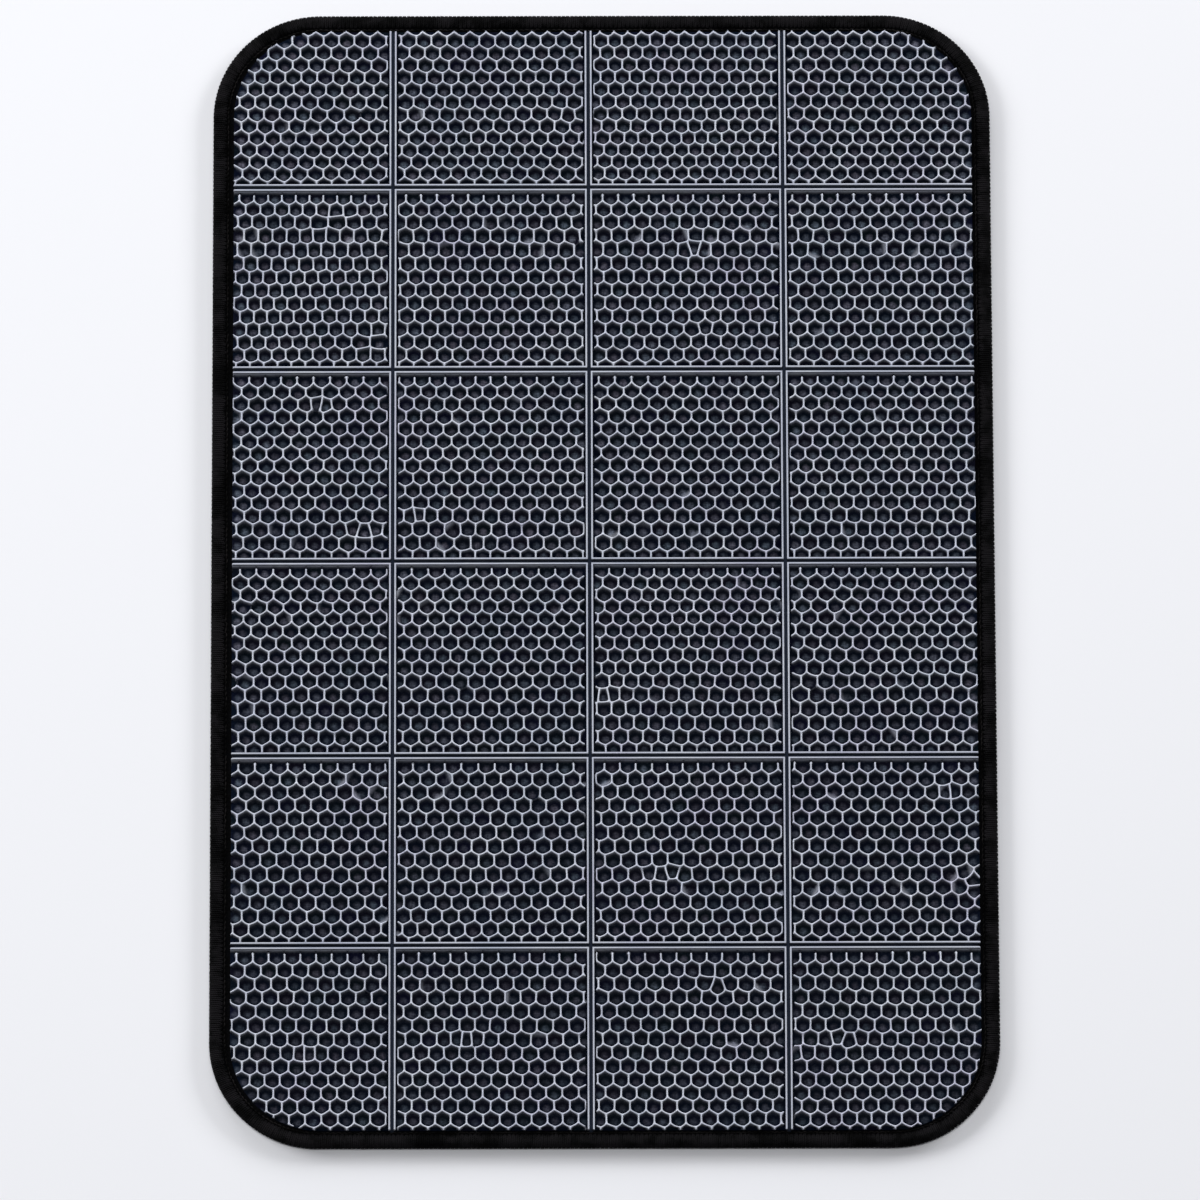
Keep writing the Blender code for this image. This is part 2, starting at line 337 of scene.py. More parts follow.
def floor_material():
    n = Nodes("studio_floor")
    at = n.add("ShaderNodeTexCoord").outputs["Object"]
    faint = n.noise(n.coords((1, 1, 1), (0, 0, 0), at), 3.0, 2.0, 0.5)
    n.link(n.mix(faint, FLOOR_COLOUR, tuple(x * 0.996 for x in FLOOR_COLOUR)),
           n.bsdf.inputs["Base Color"])
    n.bsdf.inputs["Roughness"].default_value = 0.95
    n.bsdf.inputs["Specular IOR Level"].default_value = 0.1
    return n.mat


FLOOR_COLOUR = (0.812, 0.820, 0.857)


# ---------------------------------------------------------------- outlines
def rounded_outline(inset, step=None, corner_steps=12):
    """Points of the mat's outline moved inwards, anticlockwise from the +X side's top end."""
    r = CORNER_R - inset
    w, h = WIDTH / 2 - inset, LENGTH / 2 - inset
    pts = []
    for cx, cy, start in ((w - r, h - r, 0), (-w + r, h - r, 90),
                          (-w + r, -h + r, 180), (w - r, -h + r, 270)):
        for i in range(corner_steps + 1):
            a = math.radians(start + 90.0 * i / corner_steps)
            pts.append((cx + r * math.cos(a), cy + r * math.sin(a)))
    return pts


class EdgePath:
    """The mat's outline as a function of length, with its outward normal."""

    def __init__(self):
        r = CORNER_R
        self.straight = (WIDTH - 2 * r, LENGTH - 2 * r)
        self.arc = math.pi / 2 * r
        self.pieces = []
        w, h = WIDTH / 2, LENGTH / 2
        s = 0.0
        # anticlockwise: right side up, corner, top side left, and so on
        for length, start, along, normal, centre, a0 in (
                (self.straight[1], (w, -h + r), (0, 1), (1, 0), (w - r, h - r), 0),
                (self.straight[0], (w - r, h), (-1, 0), (0, 1), (-w + r, h - r), 90),
                (self.straight[1], (-w, h - r), (0, -1), (-1, 0), (-w + r, -h + r), 180),
                (self.straight[0], (-w + r, -h), (1, 0), (0, -1), (w - r, -h + r), 270)):
            self.pieces.append((s, s + length, "line", start, along, normal))
            s += length
            self.pieces.append((s, s + self.arc, "arc", centre, a0, None))
            s += self.arc
        self.total = s

    def at(self, s, inset):
        s = s % self.total
        for s0, s1, kind, a, b, normal in self.pieces:
            if s <= s1:
                if kind == "line":
                    x = a[0] + b[0] * (s - s0) - normal[0] * inset
                    y = a[1] + b[1] * (s - s0) - normal[1] * inset
                    return x, y, normal
                t = math.radians(b + 90.0 * (s - s0) / self.arc)
                n = (math.cos(t), math.sin(t))
                r = CORNER_R - inset
                return a[0] + n[0] * r, a[1] + n[1] * r, n
        raise ValueError(s)


EDGE = EdgePath()


# ---------------------------------------------------------------- honeycomb
def clip(poly, tags, nx, ny, d, tag):
    """Cut a convex polygon by nx*x + ny*y <= d. tags[i] is edge i's tag."""
    out, out_tags = [], []
    n = len(poly)
    side = [nx * x + ny * y - d for x, y in poly]
    for i in range(n):
        j = (i + 1) % n
        a, b = side[i], side[j]
        if a <= 0:
            out.append(poly[i])
            if b > 0:
                t = a / (a - b)
                p, q = poly[i], poly[j]
                out_tags.append(tags[i])
                out.append((p[0] + (q[0] - p[0]) * t, p[1] + (q[1] - p[1]) * t))
                out_tags.append(tag)
            else:
                out_tags.append(tags[i])
        elif b <= 0:
            t = a / (a - b)
            p, q = poly[i], poly[j]
            out.append((p[0] + (q[0] - p[0]) * t, p[1] + (q[1] - p[1]) * t))
            out_tags.append(tags[i])
    return out, out_tags


def ramp(x, a, b):
    t = min(max((x - a) / (b - a), 0.0), 1.0)
    return t * t * (3 - 2 * t)


# Inset of each ring from the wall's centre line (mm), its share of the wall's
# height, its tone, and its place on the bake map.
RINGS = ((0.00, 1.00, 1.00, 0.00), (0.20, 0.985, 1.00, 0.16),
         (0.35, 0.91, 0.84, 0.31), (0.45, 0.66, 0.42, 0.43),
         (0.56, 0.16, 0.12, 0.55), (0.80, 0.00, 0.02, 0.68))
# Painted light: the tone kept by the walls' sides that face the near edge of the mat, which makes those sides paler
# where the light falls on them.
NEAR_SIDE_PAINTED_LIGHT = (0.0, 0.0, 0.86, 0.60, 0.37, 0.11)
# How much further each ring stands in from a junction, to round it.
NODE_SPREAD = (1.0, 1.12, 1.24, 1.34, 1.40, 1.42)
INNER_RING, CENTRE_U = 0.84, 1.0


class Panel:
    def __init__(self, row, col):
        self.row, self.col = row, col
        self.node = "honeycomb_panel_r%dc%d" % (row, col)
        lo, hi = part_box(self.node)
        self.x0, self.y0 = lo[0] / MM, lo[1] / MM
        self.x1, self.y1 = hi[0] / MM, hi[1] / MM
        self.rib = {"W": col > 1, "E": col < 4, "N": row > 1, "S": row < 6}
        self.ix0 = self.x0 + (RIB if self.rib["W"] else 0.0)
        self.ix1 = self.x1 - (RIB if self.rib["E"] else 0.0)
        self.iy0 = self.y0 + (RIB if self.rib["S"] else 0.0)
        self.iy1 = self.y1 - (RIB if self.rib["N"] else 0.0)
        self.rng = random.Random(1000 * row + col)
        self.verts, self.faces, self.uvs = [], [], []
        self.tone, self.local, self.pale = [], [], []
        self.shared = {}
        self.corners = {}
        self.rim_next = {}

    # -- the inner outline, a convex polygon with a tag on each edge
    def outline(self):
        poly = [(self.ix0, self.iy0), (self.ix1, self.iy0),
                (self.ix1, self.iy1), (self.ix0, self.iy1)]
        tags = ["S", "E", "N", "W"]
        for sx, sy in ((1, 1), (-1, 1), (-1, -1), (1, -1)):
            if self.rib["E" if sx > 0 else "W"] or self.rib["N" if sy > 0 else "S"]:
                continue
            cx = (self.x1 - FIELD_R) if sx > 0 else (self.x0 + FIELD_R)
            cy = (self.y1 - FIELD_R) if sy > 0 else (self.y0 + FIELD_R)
            steps = 14
            for i in range(steps):
                a = math.radians(90.0 * (i + 0.5) / steps)
                nx, ny = sx * math.cos(a), sy * math.sin(a)
                d = FIELD_R * math.cos(math.radians(45.0 / steps))
                poly, tags = clip(poly, tags, nx, ny, nx * cx + ny * cy + d, "F")
        return poly, tags

    def centres(self):
        pitch, mid_x, shift = LATTICE[self.row, self.col]
        lines = ZIGZAGS[self.row - 1]
        gap_in = lines[0] - lines[1]
        gap_out = lines[-2] - lines[-1]
        lines = [lines[0] + 2 * gap_in, lines[0] + gap_in, *lines,
                 lines[-1] - gap_out, lines[-1] - 2 * gap_out]
        rows = [(a + b) / 2 for a, b in zip(lines, lines[1:])]
        heights = [a - b for a, b in zip(lines, lines[1:])]
        middle = min(range(len(rows)), key=lambda j: abs(rows[j] - MIDDLE_Y[self.row - 1]))
        pts = []
        slow = [self.rng.uniform(0, 6.28) for _ in range(4)]
        for j, y in enumerate(rows):
            uneven = max(u[2] * ramp(abs(y - u[0]), u[1] * 1.6, u[1] * 0.5) for u in UNEVEN)
            phase = mid_x + (j - middle) * shift + self.rng.gauss(0, 0.14 + 0.30 * uneven)
            start = phase + math.ceil((self.x0 - 22 - phase) / pitch) * pitch
            x, slip = start, 0.0
            # here and there a row has a cell more or a cell less than its
            # neighbours and drifts by one pitch over a few cells
            slip_at = self.rng.uniform(self.x0 - 10, self.x1 - 10) if self.rng.random() < uneven * 0.28 else 1e9
            slip_by = self.rng.choice((-1, 1)) * pitch
            while x < self.x1 + 22:
                if x > slip_at:
                    slip = slip_by * ramp(x, slip_at, slip_at + 2.6 * pitch)
                bend = 0.35 * math.sin(x / 17.0 + slow[0] + j * 0.35) + 0.25 * math.sin(x / 9.0 + slow[1] - j * 0.5)
                rise = 0.22 * math.sin(x / 14.0 + slow[2] + j * 0.4)
                here = uneven * (0.35 + 0.65 * math.sin(x / 11.0 + slow[3] + j) ** 2)
                jx = self.rng.gauss(0, 0.13 + 0.55 * here)
                jy = self.rng.gauss(0, 0.11 + 0.45 * here)
                pts.append((x + slip + bend + jx, y + rise + jy, heights[j], here))
                x += pitch
        # a few cells are split where the moulding is uneven
        kept = []
        for x, y, h, here in pts:
            u = self.rng.random()
            kept.append((x, y, h, here))
            if u > 1 - 0.008 * here:
                kept.append((x + pitch * 0.45, y + self.rng.uniform(-2, 2), h, here))
        # let uneven cells settle towards even shapes, as soft rubber does
        for _ in range(3):
            kept = self.settle(self.fill(kept))
        return kept

    def neighbours(self, x, y, xy):
        """The cell round a centre and the tags of its edges."""
        d2 = ((xy - (x, y)) ** 2).sum(1)
        poly = [(x - 12, y - 12), (x + 12, y - 12), (x + 12, y + 12), (x - 12, y + 12)]
        tags = [""] * 4
        for k in np.argsort(d2)[1:11]:
            qx, qy = xy[k]
            poly, tags = clip(poly, tags, qx - x, qy - y, (qx * qx + qy * qy - x * x - y * y) / 2, "cell")
        return poly, tags

    def fill(self, pts):
        """Put a cell in every hole that a slip or a shift has left."""
        xy = np.array([(p[0], p[1]) for p in pts])
        added = []
        for x, y, h, here in pts:
            if not (self.x0 - 6 < x < self.x1 + 6 and self.y0 - 6 < y < self.y1 + 6):
                continue
            poly, tags = self.neighbours(x, y, xy)
            for e, p in enumerate(poly):
                reach = math.hypot(p[0] - x, p[1] - y)
                if reach > 6.0 and tags[e] and tags[e - 1] \
                        and all(math.hypot(p[0] - q[0], p[1] - q[1]) > 5.0 for q in added):
                    added.append((p[0], p[1], h, max(here, 0.5)))
        return pts + added

    def settle(self, pts):
        xy = np.array([(p[0], p[1]) for p in pts])
        moved = []
        for x, y, h, here in pts:
            if here < 0.08 or not (self.x0 - 9 < x < self.x1 + 9):
                moved.append((x, y, h, here))
                continue
            poly, tags = self.neighbours(x, y, xy)
            area = sx = sy = 0.0
            for a, b in zip(poly, poly[1:] + poly[:1]):
                w = a[0] * b[1] - b[0] * a[1]
                area, sx, sy = area + w, sx + (a[0] + b[0]) * w, sy + (a[1] + b[1]) * w
            share = min(0.65, 1.4 * here)
            moved.append((x + (sx / (3 * area) - x) * share, y + (sy / (3 * area) - y) * share, h, here))
        return moved

    def wall_height(self, x, y):
        """Share of the full height that walls reach at a point."""
        h = 1.0
        if self.rib["N"]:
            h = min(h, ramp(self.iy1 - y, 1.55, 1.95))
        if self.rib["W"]:
            h = min(h, ramp(x - self.ix0, 0.55, 0.95))
        if self.rib["E"]:
            h = min(h, ramp(self.ix1 - x, 0.55, 0.95))
        wave = 0.5 + 0.5 * math.sin(x / 3.7 + 1.3 * math.sin(y / 5.1) + self.row) \
            * math.sin(y / 4.3 + 1.7 * math.sin(x / 6.3) + self.col)
        return h * (0.955 + 0.045 * wave)

    def on_outline(self, p):
        x, y = p
        if (abs(x - self.ix0) < 1e-4 or abs(x - self.ix1) < 1e-4
                or abs(y - self.iy0) < 1e-4 or abs(y - self.iy1) < 1e-4):
            return True
        return any(abs(nx * x + ny * y - d) < 1e-4 for nx, ny, d in self.arc_lines)

    def corner(self, p, reach=0.02):
        """The one stored point that stands for every corner near p."""
        gx, gy = math.floor(p[0] / reach), math.floor(p[1] / reach)
        for i in (gx - 1, gx, gx + 1):
            for j in (gy - 1, gy, gy + 1):
                for q in self.corners.get((i, j), ()):
                    if math.hypot(p[0] - q[0], p[1] - q[1]) < reach:
                        return q
        q = (p[0], p[1])
        self.corners.setdefault((gx, gy), []).append(q)
        return q

    def samples(self, p, q, tag):
        """Points along an edge after p and before q, the same from both sides."""
        length = math.hypot(q[0] - p[0], q[1] - p[1])
        if length < 0.6:
            return []
        flip = p > q
        a, b = (q, p) if flip else (p, q)
        if isinstance(tag, str):
            if length < 1.3:
                ts = [0.5]
            elif length < 2.0:
                ts = [0.35 / length, 0.5, 1 - 0.35 / length]
            else:
                near = [d / length for d in (0.2, 0.35, 0.45, 0.56, 0.8)]
                ts = near + ([0.5] if length > 3.0 else []) + [1 - t for t in reversed(near)]
        else:
            a_on, b_on = self.on_outline(a), self.on_outline(b)
            if (a_on or b_on) and length > 1.0:
                end = a if a_on else b
                if self.rib["N"] and abs(end[1] - self.iy1) < 1e-4:
                    at = [0.8, 1.3, 1.52, 1.66, 1.8, 1.98, 2.3, 3.2]
                elif abs(end[1] - self.iy0) < 1e-4:
                    at = [0.5, 1.2, 2.4]
                else:
                    at = [0.4, 0.62, 0.74, 0.86, 1.0, 1.2, 1.5, 2.4, 3.4]
                at = [x for x in at if x < length - 0.4]
                ts = [x / length for x in at] if a_on else [1 - x / length for x in reversed(at)]
            elif length > 1.6:
                ts = [0.2, 0.5, 0.8]
                # walls sag a little, so that each pit is rounder at its foot
                u = random.Random(tag[0] * 6151 + tag[1] * 3571 + self.row * 13 + self.col).random()
                slant = abs(b[0] - a[0]) / length
                sag = length * ((0.050 + 0.035 * (u - 0.5)) * ramp(slant, 0.3, 0.7) + 0.05 * (u - 0.5))
                nx, ny = (b[1] - a[1]) / length, -(b[0] - a[0]) / length
                if ny > 0 or (ny == 0 and nx < 0):
                    nx, ny = -nx, -ny
                out = [(a[0] + (b[0] - a[0]) * t + nx * sag * 4 * t * (1 - t),
                        a[1] + (b[1] - a[1]) * t + ny * sag * 4 * t * (1 - t)) for t in ts]
                return out[::-1] if flip else out
            else:
                ts = [0.5]
        out = [(a[0] + (b[0] - a[0]) * t, a[1] + (b[1] - a[1]) * t) for t in ts]
        return out[::-1] if flip else out

    def add_vertex(self, x, y, z, tone, local, pale=1.0):
        self.verts.append((x * MM, y * MM, z * MM))
        self.tone.append(tone)
        self.local.append(local)
        self.pale.append(pale)
        return len(self.verts) - 1

    def share_vertex(self, x, y, z, tone, local, pale):
        key = (round(x * 1000), round(y * 1000))
        found = self.shared.get(key)
        if found is None:
            found = self.shared[key] = self.add_vertex(x, y, z, tone, local, pale)
        return found

    def pale_of(self, x, y, kind, tag):
        """How pale the crown has worn, wall by wall and junction by junction."""
        if kind == "node":
            return 0.88 + 0.26 * random.Random(round(x * 40) * 92821 + round(y * 40)).random()
        if isinstance(tag, str):
            return 1.0
        return 0.80 + 0.24 * random.Random(tag[0] * 15485863 + tag[1] * 32452843 + self.col).random()

    def cut_cells(self):
        """Every cell as a polygon cut from the panel's outline."""
        base, base_tags = self.outline()
        pts = self.centres()
        xy = np.array([(p[0], p[1]) for p in pts])
        cells = []
        for i, (x, y, height, here) in enumerate(pts):
            if not (self.ix0 - 9 < x < self.ix1 + 9 and self.iy0 - 9 < y < self.iy1 + 9):
                continue
            d2 = ((xy - (x, y)) ** 2).sum(1)
            order = np.argsort(d2)[1:15]
            # start from the panel's inner outline
            poly, tags = list(base), list(base_tags)
            for j in order:
                qx, qy = xy[j]
                nx, ny = qx - x, qy - y
                # each wall stands halfway between the two centres
                d = (qx * qx + qy * qy - x * x - y * y) / 2
                poly, tags = clip(poly, tags, nx, ny, d, (min(i, int(j)), max(i, int(j))))
                if len(poly) < 3:
                    break
            if len(poly) < 3:
                continue
            # bring corners that meet to one point and drop doubled ones
            snapped, kept = [], []
            for p, t in zip(poly, tags):
                q = self.corner(p)
                if snapped and q == snapped[-1]:
                    kept[-1] = t
                    continue
                snapped.append(q)
                kept.append(t)
            if len(snapped) > 1 and snapped[0] == snapped[-1]:
                snapped.pop()
                kept.pop()
            if len(snapped) < 3:
                continue
            area = 0.5 * sum(a[0] * b[1] - b[0] * a[1]
                             for a, b in zip(snapped, snapped[1:] + snapped[:1]))
            cells.append((i, snapped, kept, height, here, area))
        return cells

    def watertight(self, cells):
        """True if walls pair up and the outline's edges make one loop."""
        edges = set()
        for _, poly, tags, *_ in cells:
            for e, p in enumerate(poly):
                edge = (p, poly[(e + 1) % len(poly)])
                if edge in edges:
                    return False
                edges.add(edge)
        follow = {}
        for _, poly, tags, *_ in cells:
            for e, (p, tag) in enumerate(zip(poly, tags)):
                q = poly[(e + 1) % len(poly)]
                if (q, p) not in edges:
                    if not isinstance(tag, str) or p in follow:
                        return False
                    follow[p] = q
                elif isinstance(tag, str):
                    return False
        start = next(iter(follow))
        p, count = start, 0
        while True:
            if p not in follow:
                return False
            p = follow[p]
            count += 1
            if p == start:
                return count == len(follow)
            if count > len(follow):
                return False

    def build(self):
        self.arc_lines = []
        for sx, sy in ((1, 1), (-1, 1), (-1, -1), (1, -1)):
            if self.rib["E" if sx > 0 else "W"] or self.rib["N" if sy > 0 else "S"]:
                continue
            cx = (self.x1 - FIELD_R) if sx > 0 else (self.x0 + FIELD_R)
            cy = (self.y1 - FIELD_R) if sy > 0 else (self.y0 + FIELD_R)
            for i in range(14):
                a = math.radians(90.0 * (i + 0.5) / 14)
                nx, ny = sx * math.cos(a), sy * math.sin(a)
                d = FIELD_R * math.cos(math.radians(45.0 / 14))
                self.arc_lines.append((nx, ny, nx * cx + ny * cy + d))
        for attempt in range(40):
            self.rng = random.Random(1000 * self.row + self.col + 7000 * attempt)
            self.corners = {}
            cells = self.cut_cells()
            if self.watertight(cells):
                break
        else:
            raise RuntimeError("no closed set of cells on " + self.node)
        self.cells = cells
        side = math.ceil(math.sqrt(len(cells) / 0.84))
        self.side = side
        wall_rng = {}
        boundary = {}
        for k, (i, poly, tags, height, here, area) in enumerate(cells):
            cell_id = ((i * 0.61803398 + self.row * 0.37 + self.col * 0.71) % 1.0)
            cx = sum(p[0] for p in poly) / len(poly)
            cy = sum(p[1] for p in poly) / len(poly)
            # area centroid
            ax = ay = 0.0
            for a, b in zip(poly, poly[1:] + poly[:1]):
                w = a[0] * b[1] - b[0] * a[1]
                ax += (a[0] + b[0]) * w
                ay += (a[1] + b[1]) * w
            ax, ay = ax / (6 * area), ay / (6 * area)
            cx, cy = ax, ay
            ring, kinds = [], []
            for e, (p, tag) in enumerate(zip(poly, tags)):
                q = poly[(e + 1) % len(poly)]
                factor = 1.0
                if not isinstance(tag, str):
                    if tag not in wall_rng:
                        u = random.Random(tag[0] * 7919 + tag[1] * 104729 + self.row * 31 + self.col).random()
                        wall_rng[tag] = 0.30 if u < 0.010 * here else (
                            0.72 if u < 0.004 + 0.09 * here else 1.0)
                    factor = wall_rng[tag]
                prev_tag = tags[e - 1]
                ring.append((p[0], p[1], "node", 1.0, tag, prev_tag))
                for s in self.samples(p, q, tag):
                    ring.append((s[0], s[1], "wall" if not isinstance(tag, str) else tag, factor, tag, tag))
                if isinstance(tag, str):
                    boundary.setdefault(tag, []).append((k, e, p, q))
            n = len(ring)
            # wall height share at each ring point
            hs = []
            for x, y, kind, factor, tag, prev_tag in ring:
                full = self.wall_height(x, y)
                if kind == "wall":
                    h = full * factor
                elif kind == "node":
                    clipped = isinstance(tag, str), isinstance(prev_tag, str)
                    h = 0.0 if all(clipped) else full
                else:
                    h = -1.0
                hs.append(h)
            walls = []
            for e, (p, tag) in enumerate(zip(poly, tags)):
                if not isinstance(tag, str):
                    walls.append((p, poly[(e + 1) % len(poly)], wall_rng[tag]))
            # distance of each edge line from the centre
            dist = []
            for e, p in enumerate(poly):
                q = poly[(e + 1) % len(poly)]
                ex, ey = q[0] - p[0], q[1] - p[1]
                L = math.hypot(ex, ey)
                dist.append(abs((cx - p[0]) * ey - (cy - p[1]) * ex) / max(L, 1e-6))
            edge_of = []
            for x, y, kind, factor, tag, prev_tag in ring:
                edge_of.append((tags.index(tag), tags.index(prev_tag)))
            pit = 1.0
            lift = 0.0
            fill_rng = random.Random(i * 31337 + self.row * 17 + self.col)
            if fill_rng.random() < 0.004 + 0.17 * here:
                lift = fill_rng.uniform(0.35, 0.9)
            lift_dir = fill_rng.uniform(0, 2 * math.pi)
            pales = [self.pale_of(x, y, kind, tag) for x, y, kind, factor, tag, prev_tag in ring]
            idx = []
            first = []
            for m, (x, y, kind, factor, tag, prev_tag) in enumerate(ring):
                t = self.tone_of(hs[m])
                if hs[m] < 0:
                    hs[m], t = self.cut_wall(x, y, walls)
                step_h, step_t = self.step(y)
                t = max(t, step_t)
                z = FLOOR_Z + (PANEL_TOP - FLOOR_Z) * max(hs[m], step_h)
                first.append(self.share_vertex(x, y, z, t, (0.0, 0.004, cell_id), pales[m]))
            idx.append(first)
            size = math.sqrt(area)
            # small cells get little or none of the painted light patch: their local y is pushed away from it
            away = 0.0 if area > 34.0 else 0.004 * ramp(area, 34.0, 22.0)
            for level, (inset, share, tone, _) in enumerate(RINGS[1:], 1):
                cap = 0.12 + 0.115 * level
                row = []
                for m, (x, y, kind, factor, tag, prev_tag) in enumerate(ring):
                    e0, e1 = edge_of[m]
                    dd = min(dist[e0], dist[e1])
                    f = inset / max(dd, 1e-3)
                    if kind == "N":
                        f *= 1.9
                    elif kind == "node":
                        f *= NODE_SPREAD[level]
                    f = min(f, cap)
                    px, py = x + (cx - x) * f, y + (cy - y) * f
                    h = hs[m]
                    lx, ly = px - cx, py - cy
                    # painted light: the sides of walls that face the near edge of the mat keep more of the pale
                    # tone
                    facing = ramp((y - cy) / max(math.hypot(x - cx, y - cy), 1e-6), 0.15, 0.75)
                    high, t = h * share, (tone + (max(NEAR_SIDE_PAINTED_LIGHT[level], tone) - tone) * facing) \
                        * self.tone_of(h)
                    if kind in "NSEWF" or isinstance(tag, str) or isinstance(prev_tag, str):
                        high, t = self.cut_wall(px, py, walls)
                    step_h, step_t = self.step(py)
                    high, t = max(high, step_h), max(t, step_t)
                    z = FLOOR_Z + (PANEL_TOP - FLOOR_Z) * high
                    z += self.floor_rise(lx, ly, size, lift, lift_dir) * (1 - min(high * 1.5, 1.0))
                    if lift:
                        t = max(t, self.smear(lx, ly, size, lift, lift_dir))
                    row.append(self.add_vertex(px, py, z, t, (lx * MM, ly * MM + away, cell_id), pales[m]))
                idx.append(row)
            row = []
            for m, (x, y, kind, factor, tag, prev_tag) in enumerate(ring):
                px, py = cx + (x - cx) * 0.42, cy + (y - cy) * 0.42
                lx, ly = px - cx, py - cy
                z = FLOOR_Z + self.floor_rise(lx, ly, size, lift, lift_dir)
                t = self.smear(lx, ly, size, lift, lift_dir) if lift else 0.0
                step_h, step_t = self.step(py)
                z = max(z, FLOOR_Z + (PANEL_TOP - FLOOR_Z) * step_h)
                row.append(self.add_vertex(px, py, z, max(t, step_t), (lx * MM, ly * MM + away, cell_id)))
            idx.append(row)
            centre = self.add_vertex(cx, cy, FLOOR_Z + self.floor_rise(0, 0, size, lift, lift_dir),
                                     0.0, (0.0, away, cell_id))
            us = [r[3] for r in RINGS] + [INNER_RING]
            gx, gy = k % side, k // side
            pad = 0.06
            def place(u, v):
                return ((gx + pad + u * (1 - 2 * pad)) / side,
                        (gy + pad + v * (1 - 2 * pad)) / side)
            for level in range(len(idx) - 1):
                for m in range(n):
                    m2 = (m + 1) % n
                    self.faces.append((idx[level][m], idx[level][m2], idx[level + 1][m2], idx[level + 1][m]))
                    v0, v1 = m / n, (m + 1) / n
                    self.uvs.extend((place(us[level], v0), place(us[level], v1),
                                     place(us[level + 1], v1), place(us[level + 1], v0)))
            for m in range(n):
                m2 = (m + 1) % n
                self.faces.append((idx[-1][m], idx[-1][m2], centre))
                v0, v1 = m / n, (m + 1) / n
                self.uvs.extend((place(us[-1], v0), place(us[-1], v1), place(CENTRE_U, (v0 + v1) / 2)))
            # gather the outline's points
            for m in range(n):
                m2 = (m + 1) % n
                tag = ring[m][4]
                if isinstance(tag, str):
                    self.rim_next[first[m]] = (first[m2], tag)
        self.rim()
        return self.make()

    def cut_wall(self, x, y, walls):
        """Height share and tone at a point, from its distance to the walls."""
        best, tone = 0.0, 0.0
        for p, q, factor in walls:
            ex, ey = q[0] - p[0], q[1] - p[1]
            length = math.hypot(ex, ey)
            if length < 1e-6:
                continue
            along = ((x - p[0]) * ex + (y - p[1]) * ey) / length
            if not -0.3 < along < length + 0.3:
                continue
            d = abs((x - p[0]) * ey - (y - p[1]) * ex) / length
            if d >= RINGS[-1][0]:
                continue
            for (d0, s0, t0, _), (d1, s1, t1, _) in zip(RINGS, RINGS[1:]):
                if d <= d1:
                    f = (d - d0) / (d1 - d0)
                    full = self.wall_height(x, y) * factor
                    share = (s0 + (s1 - s0) * f) * full
                    if share > best:
                        best = share
                        tone = (t0 + (t1 - t0) * f) * ramp(full, 0.12, 0.85)
                    break
        return best, tone

    def step(self, y):
        """The low step that runs along the foot of the far rib."""
        if not self.rib["N"]:
            return 0.0, 0.0
        d = self.iy1 - y
        return 0.45 * (1 - ramp(d, 0.3, 1.15)), 0.54 * (1 - ramp(d, 0.2, 1.5))

    def tone_of(self, h):
        return ramp(h, 0.12, 0.85) if h > 0 else 0.0

    def floor_rise(self, lx, ly, size, lift, direction):
        up = 0.35 * ramp(-ly / size, -0.1, 0.5)
        if lift:
            side = (lx * math.cos(direction) + ly * math.sin(direction)) / size
            up += 2.6 * lift * ramp(side, 0.0, 0.45)
        return up

    def smear(self, lx, ly, size, lift, direction):
        """Tone where a wall has slumped into its pit."""
        side = (lx * math.cos(direction) + ly * math.sin(direction)) / size
        return 0.66 * lift * ramp(side, 0.12, 0.46)

    def rim(self):
        """Ribs, cut sides and the underside, all round the outline."""
        start = next(iter(self.rim_next))
        loop, tags = [], []
        v = start
        while True:
            nxt, tag = self.rim_next[v]
            loop.append(v)
            tags.append(tag)
            v = nxt
            if v == start:
                break
            if len(loop) > 5000:
                raise RuntimeError("open outline on " + self.node)
        n = len(loop)
        normal = {"N": (0, 1), "S": (0, -1), "E": (1, 0), "W": (-1, 0)}
        ribbed = [t in normal and self.rib[t] for t in tags]
        top = PANEL_TOP
        profile = ((0.05, 0.30, 0.50), (0.10, 0.07, 0.85), (0.28, 0.0, 1.0), (0.50, -0.0, 1.0), (0.72, 0.0, 1.0),
                   (0.90, 0.07, 0.85), (0.96, 0.32, 0.45), (1.00, None, 0.02))
        columns = []
        length, along = 0.0, []
        for i, v in enumerate(loop):
            x, y, z = (c / MM for c in self.verts[v])
            before, after = tags[i - 1], tags[i]
            rb, ra = ribbed[i - 1], ribbed[i]
            if i:
                px, py, _ = (c / MM for c in self.verts[loop[i - 1]])
                length += math.hypot(x - px, y - py)
            along.append(length)
            ox = oy = 0.0
            if rb:
                ox, oy = normal[before]
            if ra:
                nx, ny = normal[after]
                ox, oy = (nx, ny) if not rb or before == after else (ox + nx, oy + ny)
            column = []
            if rb or ra:
                ends = rb != ra
                for t, drop, tone in profile:
                    if drop is None:
                        zz = PANEL_Z0
                    else:
                        full = top - drop
                        wave = 0.02 * math.sin(x * 0.31 + 2.1 * y)
                        zz = full - 0.02 + wave
                        if ends:
                            zz = FLOOR_Z + (zz - FLOOR_Z) * 0.62
                    tt = tone * (0.88 if not ends else 0.76)
                    column.append(self.add_vertex(x + ox * RIB * t, y + oy * RIB * t, zz, tt, (0, 0, 0.3)))
            foot = self.add_vertex(x, y, PANEL_Z0, 0.0, (0, 0, 0.3)) if not (rb and ra) else None
            columns.append((column, foot))
        total = max(along[-1], 1.0)
        lines = 4
        v_base, v_step = 0.872, 0.026

        def place(s, t):
            s = s / total * lines
            line = min(int(s), lines - 1)
            return (0.01 + 0.98 * (s - line), v_base + v_step * (line + 0.1 + 0.8 * t))

